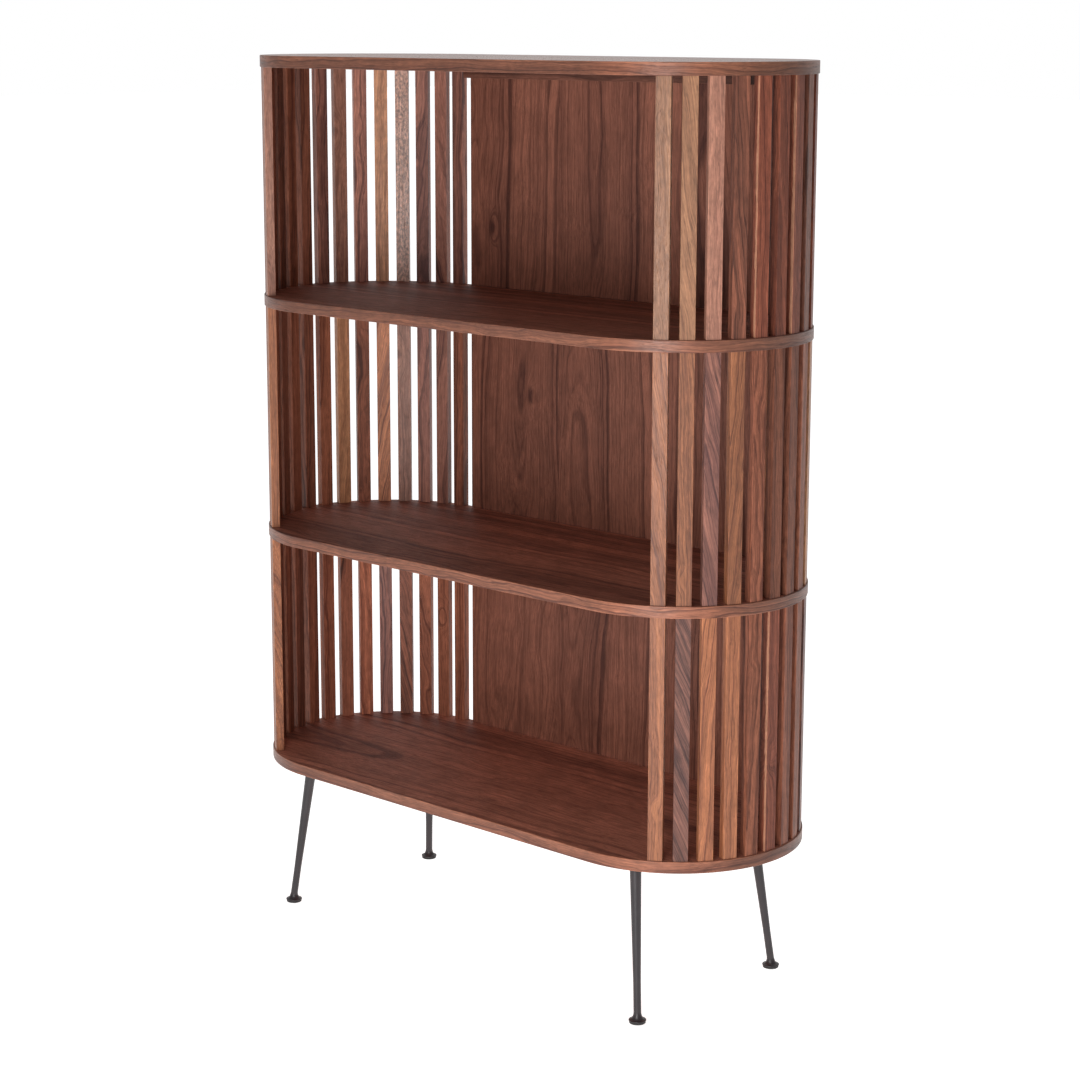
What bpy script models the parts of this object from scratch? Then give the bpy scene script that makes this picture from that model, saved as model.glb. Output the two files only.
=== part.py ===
"""Open bookcase with rounded, slatted ends on four splayed metal legs.

Metres, +Z up. The origin is on the floor, under the middle of the case. +X runs to the right
along the open front and +Y runs to the back, where the veneered panels are.
"""

import math

import bmesh
import bpy

# Overall size and plan. The plan is a stadium: two half circles joined by straight sides.
WIDTH = 1.048
DEPTH = 0.400
END_RADIUS = DEPTH / 2
END_CENTRE = WIDTH / 2 - END_RADIUS
GAP = 0.0003  # left between pieces that touch

# Heights
CASE_BOTTOM = 0.248
BOARD = 0.018
TOP_BOARD = 0.019
TIER = 0.371  # clear height between two boards
BOARD_BOTTOMS = [CASE_BOTTOM + i * (BOARD + TIER) for i in range(4)]
BOARD_TOPS = [bottom + BOARD for bottom in BOARD_BOTTOMS[:3]] + [BOARD_BOTTOMS[3] + TOP_BOARD]
BOARD_NAMES = ["bottom_board", "shelf_lower", "shelf_upper", "top_board"]
ARC_STEPS = 30  # straight stretches along each rounded end
EDGE_BAND = 0.0015  # solid lipping around every board
CUTTER_CLEAR = 0.004  # how far a cutter stands out of the face that it opens

# Slats: upright, faces square to the radius, tied by stub tenons that enter the boards
SLATS_PER_END = 14
SLAT_WIDTH = 0.022
SLAT_DEPTH = 0.013
SLAT_INSET = 0.0025  # outer face of a slat, in from the edge of the boards
FIRST_SLAT = math.radians(32.4)  # measured round the end from the straight front
LAST_SLAT = math.radians(176.2)
TENON_WIDTH = 0.014
TENON_DEPTH = 0.007
TENON_LENGTH = 0.010
SLAT_RING = END_RADIUS - SLAT_INSET - SLAT_DEPTH / 2

# Back: a thin panel in each tier, and a rail under the top board in front of the upper panel
PANEL_WIDTH = 0.619
PANEL_THICKNESS = 0.006
PANEL_BACK = DEPTH / 2 - SLAT_INSET
RAIL_DEPTH = 0.018
RAIL_HEIGHT = 0.020

# Legs: round, tapered, splayed outwards, with a coved foot and a screwed glide under it
LEG_TOP = (0.368, 0.1395)
LEG_FOOT = (0.3945, 0.1618)
LEG_TOP_RADIUS = 0.0082
LEG_NECK_RADIUS = 0.0053
LEG_TAPER_START = 0.062
COVE_STEPS = 4
COVE_HEIGHT = 0.0115
FOOT_RADIUS = 0.0133
FOOT_RIM = 0.0026
STRAIGHT_FOOT = 0.012  # the leg's slant begins at this height
STUD_RADIUS = 0.004
STUD_LENGTH = 0.0145
GLIDE_RADIUS = 0.0128
GLIDE_HEIGHT = 0.003
GLIDE_CHAMFER = 0.0008
GLIDE_STUD_RADIUS = 0.0025
GLIDE_STUD_LENGTH = 0.014
ROUND_STEPS = 16

# Leg plates: long round-ended steel plates, each held by two countersunk screws
PLATE_THICKNESS = 0.004
PLATE_LENGTH = 0.074
PLATE_WIDTH = 0.030
PLATE_STEPS = 8
SCREW_SPACING = 0.052
SCREW_HEAD_RADIUS = 0.0038
SCREW_HEAD_HEIGHT = 0.0022
SCREW_RADIUS = 0.0019
SCREW_LENGTH = 0.0155
SCREW_STEPS = 10
LEG_TOP_HEIGHT = CASE_BOTTOM - 2 * GAP - PLATE_THICKNESS

# Finishes: base colour, roughness, metallic
WALNUT_TONES = [
    (0.235, 0.115, 0.072),
    (0.190, 0.086, 0.055),
    (0.285, 0.150, 0.092),
    (0.150, 0.068, 0.052),
    (0.215, 0.100, 0.066),
]
WALNUT_BOARD = (0.170, 0.076, 0.052)
WALNUT_BAND = (0.255, 0.125, 0.080)
WALNUT_PANEL = (0.145, 0.062, 0.042)
BLACK_METAL = (0.035, 0.031, 0.032)
ZINC = (0.55, 0.55, 0.57)


def clear_scene():
    for obj in list(bpy.data.objects):
        bpy.data.objects.remove(obj, do_unlink=True)


def principled(name, colour, roughness, metallic):
    material = bpy.data.materials.new(name)
    material.use_nodes = True
    shader = material.node_tree.nodes["Principled BSDF"]
    shader.inputs["Base Color"].default_value = (*colour, 1.0)
    shader.inputs["Roughness"].default_value = roughness
    shader.inputs["Metallic"].default_value = metallic
    return material


def add_object(name, mesh, finish=None, location=(0.0, 0.0, 0.0), turn=0.0, parent=None):
    """Adds an object that holds the mesh. finish is its colour, roughness and metallic value."""
    obj = bpy.data.objects.new(name, mesh)
    bpy.context.scene.collection.objects.link(obj)
    obj.location = location
    obj.rotation_euler = (0.0, 0.0, turn)
    obj.parent = parent
    if finish:
        if not mesh.materials:
            mesh.materials.append(None)
        obj.material_slots[0].link = "OBJECT"
        obj.material_slots[0].material = principled(name, *finish)
    return obj


def mesh_from(name, build, smooth_angle=None):
    """A mesh made by build(bm), with its faces pointing out."""
    bm = bmesh.new()
    build(bm)
    bmesh.ops.recalc_face_normals(bm, faces=bm.faces)
    mesh = bpy.data.meshes.new(name)
    bm.to_mesh(mesh)
    bm.free()
    if smooth_angle:
        mesh.shade_smooth()
        mesh.set_sharp_from_angle(angle=math.radians(smooth_angle))
    return mesh


def circle(radius, z, centre=(0.0, 0.0), steps=ROUND_STEPS):
    turns = [2 * math.pi * i / steps for i in range(steps)]
    return [(centre[0] + radius * math.cos(t), centre[1] + radius * math.sin(t), z) for t in turns]


def rectangle(width, depth, z, centre=(0.0, 0.0)):
    corners = [(-1, -1), (1, -1), (1, 1), (-1, 1)]
    return [(centre[0] + x * width / 2, centre[1] + y * depth / 2, z) for x, y in corners]


def stadium(half_straight, radius, z, steps):
    """Two half circles of this radius, their centres half_straight each side of the middle."""
    points = []
    for side, start in ((1, -math.pi / 2), (-1, math.pi / 2)):
        for i in range(steps + 1):
            angle = start + math.pi * i / steps
            points.append((side * half_straight + radius * math.cos(angle), radius * math.sin(angle), z))
    return points


def board_outline(inset, z):
    return stadium(END_CENTRE, END_RADIUS - inset, z, ARC_STEPS)


def loft(bm, rings, closed=False):
    """Skins a row of rings with equal numbers of points. It is capped, or closed ring to ring."""
    loops = [[bm.verts.new(point) for point in ring] for ring in rings]
    pairs = list(zip(loops, loops[1:]))
    if closed:
        pairs.append((loops[-1], loops[0]))
    else:
        bm.faces.new(loops[0])
        bm.faces.new(loops[-1])
    for lower, upper in pairs:
        for i in range(len(lower)):
            j = (i + 1) % len(lower)
            bm.faces.new((lower[i], lower[j], upper[j], upper[i]))


def add_cutter(name, build, target, location=(0.0, 0.0, 0.0)):
    """Cuts target with a hidden helper, which moves with it."""
    cutter = add_object(name, mesh_from(name, build), location=location, parent=target)
    cutter.hide_render = True
    cutter.display_type = "WIRE"
    cut = target.modifiers.new(name, "BOOLEAN")
    cut.object = cutter
    cut.operation = "DIFFERENCE"
    cut.solver = "EXACT"


def slat_places():
    """Yields the name, centre and turn of each slat column, front to back, at each end."""
    pitch = (LAST_SLAT - FIRST_SLAT) / (SLATS_PER_END - 1)
    for label, side in (("left", -1), ("right", 1)):
        for i in range(SLATS_PER_END):
            angle = FIRST_SLAT + i * pitch
            centre = (
                side * (END_CENTRE + SLAT_RING * math.sin(angle)),
                -SLAT_RING * math.cos(angle),
            )
            yield f"slat_{label}_{i + 1:02d}", centre, side * angle


def leg_places():
    """Yields the label of each leg and the signs of its X and Y."""
    for depth_label, y_sign in (("front", -1), ("back", 1)):
        for side_label, x_sign in (("left", -1), ("right", 1)):
            yield f"{depth_label}_{side_label}", x_sign, y_sign


def build_slats():
    """One column for each slat place: three slats in line, with stub tenons joined in the shelves."""

    def column(bm):
        slat = (SLAT_WIDTH, SLAT_DEPTH)
        tenon = (TENON_WIDTH, TENON_DEPTH)
        rings = [rectangle(*tenon, BOARD_TOPS[0] - TENON_LENGTH)]
        for tier in range(3):
            low = BOARD_TOPS[tier] + GAP
            high = BOARD_BOTTOMS[tier + 1] - GAP
            rings.append(rectangle(*tenon, low))
            rings.append(rectangle(*slat, low))
            rings.append(rectangle(*slat, high))
            rings.append(rectangle(*tenon, high))
        rings.append(rectangle(*tenon, BOARD_BOTTOMS[3] + TENON_LENGTH))
        loft(bm, rings)

    mesh = mesh_from("slat_column", column)
    for i, (name, centre, turn) in enumerate(slat_places()):
        tone = WALNUT_TONES[(3 * i) % len(WALNUT_TONES)]
        add_object(name, mesh, (tone, 0.5, 0.0), location=(*centre, 0.0), turn=turn)


def mortises(low, high):
    """A builder of the slats' mortise blocks, from height low to height high."""

    def build(bm):
        half_width = TENON_WIDTH / 2 + GAP
        half_depth = TENON_DEPTH / 2 + GAP
        for _, centre, turn in slat_places():
            along = (math.cos(turn), math.sin(turn))
            rings = []
            for z in (low, high):
                ring = []
                for x, y, _ in rectangle(2 * half_width, 2 * half_depth, z):
                    ring.append(
                        (
                            centre[0] + x * along[0] - y * along[1],
                            centre[1] + x * along[1] + y * along[0],
                            z,
                        )
                    )
                rings.append(ring)
            loft(bm, rings)

    return build


def build_boards():
    """The four boards: a panel core with its mortises, and the bent lipping round its edge."""
    deep = TENON_LENGTH + 2 * GAP
    for i, name in enumerate(BOARD_NAMES):
        low = BOARD_BOTTOMS[i]
        high = BOARD_TOPS[i]

        def core(bm, a=low, b=high):
            loft(bm, [board_outline(EDGE_BAND + GAP, z) for z in (a, b)])

        board = add_object(name, mesh_from(name, core), (WALNUT_BOARD, 0.42, 0.0))
        cut_low = high - deep if i == 0 else low - CUTTER_CLEAR
        cut_high = low + deep if i == 3 else high + CUTTER_CLEAR
        add_cutter(f"{name}_mortises", mortises(cut_low, cut_high), board)

        def band(bm, a=low, b=high):
            corners = ((0.0, a), (0.0, b), (EDGE_BAND, b), (EDGE_BAND, a))
            loft(bm, [board_outline(inset, z) for inset, z in corners], closed=True)

        add_object(f"{name}_edge_band", mesh_from(f"{name}_edge_band", band), (WALNUT_BAND, 0.45, 0.0))


def build_back():
    """The three back panels, and the rail under the top board."""
    panel_y = PANEL_BACK - PANEL_THICKNESS / 2
    for tier, label in enumerate(("lower", "middle", "upper")):
        low = BOARD_TOPS[tier] + GAP
        high = BOARD_BOTTOMS[tier + 1] - GAP

        def panel(bm, a=low, b=high):
            loft(bm, [rectangle(PANEL_WIDTH, PANEL_THICKNESS, z) for z in (a, b)])

        name = f"back_panel_{label}"
        add_object(name, mesh_from(name, panel), (WALNUT_PANEL, 0.42, 0.0), location=(0.0, panel_y, 0.0))

    rail_y = PANEL_BACK - PANEL_THICKNESS - GAP - RAIL_DEPTH / 2
    rail_top = BOARD_BOTTOMS[3] - GAP

    def rail(bm):
        loft(bm, [rectangle(PANEL_WIDTH, RAIL_DEPTH, z) for z in (rail_top - RAIL_HEIGHT, rail_top)])

    rail_mesh = mesh_from("back_top_rail", rail)
    add_object("back_top_rail", rail_mesh, (WALNUT_BOARD, 0.5, 0.0), location=(0.0, rail_y, 0.0))


def leg_rings():
    """Rings of one leg, from the roof of its glide hole round the foot and up to the end of its stud.

    The leg stands on the origin and leans towards local -X, so that its foot is splayed along +X.
    """
    lean = math.hypot(LEG_FOOT[0] - LEG_TOP[0], LEG_FOOT[1] - LEG_TOP[1])
    slope = lean / (LEG_TOP_HEIGHT - STRAIGHT_FOOT)
    hole = GLIDE_STUD_RADIUS + GAP
    hole_top = GLIDE_HEIGHT + GAP + GLIDE_STUD_LENGTH + GAP
    foot_bottom = GLIDE_HEIGHT + GAP
    rim_top = foot_bottom + FOOT_RIM

    def centre(z):
        return (-slope * max(0.0, z - STRAIGHT_FOOT), 0.0)

    rings = [circle(hole, hole_top), circle(hole, foot_bottom), circle(FOOT_RADIUS, foot_bottom)]
    reach = FOOT_RADIUS - LEG_NECK_RADIUS
    for i in range(COVE_STEPS + 1):
        angle = math.pi / 2 * i / COVE_STEPS
        radius = FOOT_RADIUS - reach * math.sin(angle)
        height = rim_top + COVE_HEIGHT * (1 - math.cos(angle))
        rings.append(circle(radius, height, centre(height)))
    rings.append(circle(LEG_NECK_RADIUS, LEG_TAPER_START, centre(LEG_TAPER_START)))
    top = centre(LEG_TOP_HEIGHT)
    rings.append(circle(LEG_TOP_RADIUS, LEG_TOP_HEIGHT, top))
    rings.append(circle(STUD_RADIUS, LEG_TOP_HEIGHT, top))
    rings.append(circle(STUD_RADIUS, LEG_TOP_HEIGHT + STUD_LENGTH, top))
    return rings


def glide_rings():
    """Rings of one levelling glide, from the end of its stud down to its pad's underside."""
    return [
        circle(GLIDE_STUD_RADIUS, GLIDE_HEIGHT + GLIDE_STUD_LENGTH),
        circle(GLIDE_STUD_RADIUS, GLIDE_HEIGHT),
        circle(GLIDE_RADIUS, GLIDE_HEIGHT),
        circle(GLIDE_RADIUS, GLIDE_CHAMFER),
        circle(GLIDE_RADIUS - GLIDE_CHAMFER, 0.0),
    ]


def screw_rings(extra=0.0, mouth=0.0):
    """Rings of a countersunk screw that points up, its head's face at height 0.

    extra widens and lengthens it into the hole that it goes in, and mouth starts that hole lower.
    """
    head = SCREW_HEAD_RADIUS + extra
    shank = SCREW_RADIUS + extra
    sizes = [(head, extra), (shank, SCREW_HEAD_HEIGHT + extra), (shank, SCREW_LENGTH + extra)]
    if mouth:
        sizes.insert(0, (head, -mouth))
    return [circle(radius, z, steps=SCREW_STEPS) for radius, z in sizes]


def shifted(rings, dx):
    return [[(x + dx, y, z) for x, y, z in ring] for ring in rings]


def build_legs():
    """Legs with their glides, the plates that join them to the bottom board, and the plates' screws."""
    leg_mesh = mesh_from("leg", lambda bm: loft(bm, leg_rings()), smooth_angle=40)
    glide_mesh = mesh_from("glide", lambda bm: loft(bm, glide_rings()), smooth_angle=40)
    screw_mesh = mesh_from("plate_screw", lambda bm: loft(bm, screw_rings()), smooth_angle=30)
    plate_bottom = CASE_BOTTOM - GAP - PLATE_THICKNESS
    hole = STUD_RADIUS + GAP

    def plate(bm):
        half_straight = (PLATE_LENGTH - PLATE_WIDTH) / 2
        loft(bm, [stadium(half_straight, PLATE_WIDTH / 2, z, PLATE_STEPS) for z in (0.0, PLATE_THICKNESS)])

    def plate_holes(bm):
        loft(bm, [circle(hole, -CUTTER_CLEAR), circle(hole, PLATE_THICKNESS + CUTTER_CLEAR)])
        for side in (-1, 1):
            loft(bm, shifted(screw_rings(GAP, CUTTER_CLEAR), side * SCREW_SPACING / 2))

    def board_holes(bm):
        stud_top = LEG_TOP_HEIGHT + STUD_LENGTH + GAP
        pilot = SCREW_RADIUS + GAP
        pilot_top = plate_bottom + SCREW_LENGTH + GAP
        start = CASE_BOTTOM - CUTTER_CLEAR
        for _, x_sign, y_sign in leg_places():
            x = x_sign * LEG_TOP[0]
            y = y_sign * LEG_TOP[1]
            loft(bm, [circle(hole, start, (x, y)), circle(hole, stud_top, (x, y))])
            for side in (-1, 1):
                at = (x + side * SCREW_SPACING / 2, y)
                rings = [circle(pilot, z, at, SCREW_STEPS) for z in (start, pilot_top)]
                loft(bm, rings)

    plate_mesh = mesh_from("leg_plate", plate)
    add_cutter("bottom_board_leg_holes", board_holes, bpy.data.objects["bottom_board"])
    for label, x_sign, y_sign in leg_places():
        foot = (x_sign * LEG_FOOT[0], y_sign * LEG_FOOT[1], 0.0)
        top = (x_sign * LEG_TOP[0], y_sign * LEG_TOP[1], plate_bottom)
        splay = math.atan2(foot[1] - top[1], foot[0] - top[0])
        add_object(f"leg_{label}", leg_mesh, (BLACK_METAL, 0.5, 0.6), foot, splay)
        add_object(f"glide_{label}", glide_mesh, (BLACK_METAL, 0.55, 0.3), foot)
        leg_plate = add_object(f"leg_plate_{label}", plate_mesh, (BLACK_METAL, 0.5, 0.6), top)
        add_cutter(f"leg_plate_{label}_holes", plate_holes, leg_plate)
        for side, side_label in ((-1, "a"), (1, "b")):
            at = (top[0] + side * SCREW_SPACING / 2, top[1], plate_bottom)
            add_object(f"plate_screw_{label}_{side_label}", screw_mesh, (ZINC, 0.3, 1.0), at)


clear_scene()
build_boards()
build_slats()
build_back()
build_legs()
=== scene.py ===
import math
import random

import bmesh
import bpy
from mathutils import Matrix, Vector


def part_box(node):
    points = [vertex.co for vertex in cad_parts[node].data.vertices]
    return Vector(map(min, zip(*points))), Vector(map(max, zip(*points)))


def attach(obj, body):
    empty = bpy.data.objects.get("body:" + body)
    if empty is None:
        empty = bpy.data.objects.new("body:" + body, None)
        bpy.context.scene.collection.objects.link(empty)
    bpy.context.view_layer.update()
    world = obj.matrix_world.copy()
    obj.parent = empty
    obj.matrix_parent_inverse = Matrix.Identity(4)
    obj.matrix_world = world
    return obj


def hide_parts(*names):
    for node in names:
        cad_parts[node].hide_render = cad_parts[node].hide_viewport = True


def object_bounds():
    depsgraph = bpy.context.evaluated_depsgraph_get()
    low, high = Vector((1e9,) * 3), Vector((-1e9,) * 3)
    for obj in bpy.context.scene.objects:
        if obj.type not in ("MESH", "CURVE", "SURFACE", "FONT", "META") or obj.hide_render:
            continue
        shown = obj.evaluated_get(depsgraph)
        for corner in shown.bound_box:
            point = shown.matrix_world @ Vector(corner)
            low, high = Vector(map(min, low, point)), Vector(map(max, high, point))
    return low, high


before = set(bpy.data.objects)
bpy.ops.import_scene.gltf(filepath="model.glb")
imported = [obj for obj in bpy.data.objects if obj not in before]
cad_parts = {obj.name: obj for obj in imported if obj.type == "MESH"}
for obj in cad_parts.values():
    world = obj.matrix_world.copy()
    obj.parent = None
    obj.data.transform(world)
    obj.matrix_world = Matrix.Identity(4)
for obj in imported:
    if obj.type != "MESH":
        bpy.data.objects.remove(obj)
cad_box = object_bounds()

# Every place comes from the frame. Sizes below are in metres.
LOW, HIGH = cad_box
DEPTH = HIGH.y - LOW.y
END_RADIUS = DEPTH / 2
END_CENTRE = (HIGH.x - LOW.x) / 2 - END_RADIUS
BOARDS = ["bottom_board", "shelf_lower", "shelf_upper", "top_board"]
TIERS = ["lower", "middle", "upper"]
SLATS_PER_END = 14

# Slats
SLAT_WIDTH = 0.0226
SLAT_DEPTH = 0.0134
SLAT_SHADES = (0.8, 1.0)  # of the slats that the photo doesn't show
SLAT_SLOPES = (-0.15, 0.15)
KNOT_REACH = 0.4  # how far off a slat's middle its knot may lie, as a share of its width
ARRIS = 0.0006  # radius of a slat's eased long edges
ARRIS_STEPS = 3
JOINT = 0.0003  # shadow line where a slat meets a board

# Boards
BAND = 0.0015  # thickness of the bent lipping
BAND_EASE = 0.0009
END_STEPS = 96  # straight stretches round one rounded end

# Back
PANEL_EASE = 0.0006
PANEL_EASE_STEPS = 2
PANEL_SPREAD = 0.003  # how much wider than in CAD, against the renderer's spread of the white
VENEER_LEAVES = 3
HEART = 0.06  # how far a leaf's middle lies from the log's
# Painted shade: the rail under the top board is painted darker, as though in the board's shadow
RAIL_PAINTED_SHADE = 0.55
PANEL_SHADES = {"upper": 1.07, "middle": 0.95, "lower": 0.97}
# A knot in each panel, from the middle of its lower edge
PANEL_KNOTS = {"upper": (-0.26, 0.0, 0.10), "middle": (-0.17, 0.0, 0.21), "lower": (0.17, 0.0, 0.15)}

# Legs
ROUND_STEPS = 48
COVE_STEPS = 14
COVE_HEIGHT = 0.0115
FOOT_RADIUS = 0.0137
FOOT_RIM = 0.0026  # height of the foot's upright rim
FOOT_EASE = 0.0013
LEG_NECK = 0.0060  # radius just above the foot
LEG_TAPER = 0.062  # height from which the leg widens
LEG_TOP = 0.0091
STRAIGHT_FOOT = 0.012  # below this height the foot is upright, and above it the leg leans

# Glides
GLIDE_HEIGHT = 0.003
GLIDE_RADIUS = 0.0128
GLIDE_EASE = 0.0012
GLIDE_RIM = 0.0002  # the small chamfer round the pad's upper edge
GLIDE_HOLE = 0.0028
GLIDE_STUD = 0.014
STUD_RADIUS = 0.0025
THREAD_PITCH = 0.0008
THREAD_DEPTH = 0.0004
THREAD_STEPS = 6  # rings in each turn of the thread

# Plates and screws
PLATE_EASE = 0.0006
PLATE_STEPS = 24
SCREW_SHANK = 0.0019
SCREW_RIM = 0.0003
SCREW_HEAD_HEIGHT = 0.0022
SCREW_POINT = 0.002
SCREW_STEPS = 24
RECESS_DEPTH = 0.0016
RECESS_MOUTH = (0.0026, 0.0006)  # half the length and half the width of a bar of the cross
RECESS_ROOT = (0.0010, 0.0004)
CUTTER_CLEAR = 0.001  # how far a cutter stands out of the face that it opens

CORNERS = ((-1, -1), (1, -1), (1, 1), (-1, 1))
SHARP = 35  # degrees: a sharper edge stays crisp
NO_KNOT = Vector((0.0, 0.0, -9.0))

random.seed(14)


# ---------------------------------------------------------------- meshes


def finish_mesh(name, bm):
    """Turns bm into an object whose faces point out, smooth except at its sharp edges."""
    bmesh.ops.recalc_face_normals(bm, faces=bm.faces)
    mesh = bpy.data.meshes.new(name)
    bm.to_mesh(mesh)
    bm.free()
    obj = bpy.data.objects.new(name, mesh)
    bpy.context.scene.collection.objects.link(obj)
    smooth(obj)
    return obj


def smooth(obj):
    """Shades the object smooth, except at its sharp edges."""
    obj.data.shade_smooth()
    obj.data.set_sharp_from_angle(angle=math.radians(SHARP))
    weighted = obj.modifiers.new("weighted_normals", "WEIGHTED_NORMAL")
    weighted.keep_sharp = True


def carve(piece, *cutters):
    """Takes the cutters' shapes out of the piece for good, and removes them."""
    piece.modifiers.clear()
    for cutter in cutters:
        cut = piece.modifiers.new("cut", "BOOLEAN")
        cut.object = cutter
        cut.operation = "DIFFERENCE"
    graph = bpy.context.evaluated_depsgraph_get()
    piece.data = bpy.data.meshes.new_from_object(piece.evaluated_get(graph), depsgraph=graph)
    piece.modifiers.clear()
    smooth(piece)
    for cutter in cutters:
        bpy.data.objects.remove(cutter)


def loft(bm, rings, closed=False, caps=True):
    """Skins a row of rings that have equal numbers of points."""
    loops = [[bm.verts.new(point) for point in ring] for ring in rings]
    pairs = list(zip(loops, loops[1:]))
    if closed:
        pairs.append((loops[-1], loops[0]))
    elif caps:
        bm.faces.new(loops[0])
        bm.faces.new(loops[-1])
    for lower, upper in pairs:
        for i in range(len(lower)):
            j = (i + 1) % len(lower)
            bm.faces.new((lower[i], lower[j], upper[j], upper[i]))


def eased_rectangle(width, depth, radius, steps):
    """Corners of a rectangle round the origin, each one rounded in this many steps."""
    points = []
    for quarter, (sx, sy) in enumerate([(1, 1), (-1, 1), (-1, -1), (1, -1)]):
        centre = (sx * (width / 2 - radius), sy * (depth / 2 - radius))
        for i in range(steps + 1):
            angle = math.pi / 2 * (quarter + i / steps)
            points.append(
                (centre[0] + radius * math.cos(angle), centre[1] + radius * math.sin(angle))
            )
    return points


def stadium(radius, steps=END_STEPS, half_straight=END_CENTRE):
    """A long outline with round ends of this radius, centred half_straight off the middle."""
    points = []
    for side, start in ((1, -math.pi / 2), (-1, math.pi / 2)):
        for i in range(steps + 1):
            angle = start + math.pi * i / steps
            points.append((side * half_straight + radius * math.cos(angle), radius * math.sin(angle)))
    return points


def turned(bm, profile, steps, centre_at):
    """Turns (radius, height) points about an axis, whose place at each height is centre_at(height)."""
    loft(bm, [ring_at(centre_at(height), radius, height, steps) for radius, height in profile])


def ring_at(centre, radius, height, steps):
    """Points round a level circle."""
    turns = [2 * math.pi * i / steps for i in range(steps)]
    return [
        (centre[0] + radius * math.cos(turn), centre[1] + radius * math.sin(turn), height)
        for turn in turns
    ]


def set_corners(mesh, name, value_at):
    """Stores value_at(point, middle of its face) as a vector on every face corner."""
    layer = mesh.attributes.new(name, "FLOAT_VECTOR", "CORNER")
    values = []
    for face in mesh.polygons:
        for loop in face.loop_indices:
            point = mesh.vertices[mesh.loops[loop].vertex_index].co
            values.extend(value_at(point, face.center))
    layer.data.foreach_set("vector", values)


def side_length(mesh, loop):
    """Length of the side of a face that starts at this corner."""
    first, second = mesh.edges[mesh.loops[loop].edge_index].vertices
    return (mesh.vertices[first].co - mesh.vertices[second].co).length


def set_wood(piece, grain_at, shade=1.0, knot=NO_KNOT, glint_at=None, painted_light_at=None):
    """Stores what the wood's finish reads: where each corner was in the log, and the piece's traits.

    grain_at(point, middle of its face) is that place: across, through and along the grain. shade is
    how light the piece is next to others of its look: its own tone, with painted light and shade
    in it on the boards, the lippings, the rail and some slats. knot is where in the log a knot lies.
    The next argument, from 0 to 1 for a point and its face, marks where a painted highlight runs along an
    arris.
    The last argument, a function of the point, scales the shade from place to place with a painted
    highlight and painted shade. Narrow faces belong to a rounded edge.
    """
    mesh = piece.data
    set_corners(mesh, "grain", grain_at)
    set_corners(mesh, "knot", lambda point, centre: knot)
    rounded = []
    glint = []
    for face in mesh.polygons:
        narrow = min(side_length(mesh, k) for k in face.loop_indices)
        rounded.extend([1.0 if narrow < ARRIS else 0.0] * face.loop_total)
        points = [mesh.vertices[k].co for k in face.vertices]
        glint.extend([glint_at(point, face) if glint_at else 0.0 for point in points])
    # Rounded edges, which the finish paints lighter: partly wear and partly a painted highlight
    mesh.attributes.new("edge", "FLOAT", "CORNER").data.foreach_set("value", rounded)
    mesh.attributes.new("glint", "FLOAT", "CORNER").data.foreach_set("value", glint)
    shades = [shade * (painted_light_at(vertex.co) if painted_light_at else 1.0) for vertex in mesh.vertices]
    mesh.attributes.new("shade", "FLOAT", "POINT").data.foreach_set("value", shades)


def somewhere():
    """A random spot in the log, so that no two pieces show the same figure."""
    return Vector((random.uniform(0.03, 0.16), random.uniform(0.02, 0.12), random.uniform(0.0, 40.0)))


# ---------------------------------------------------------------- materials


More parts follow.
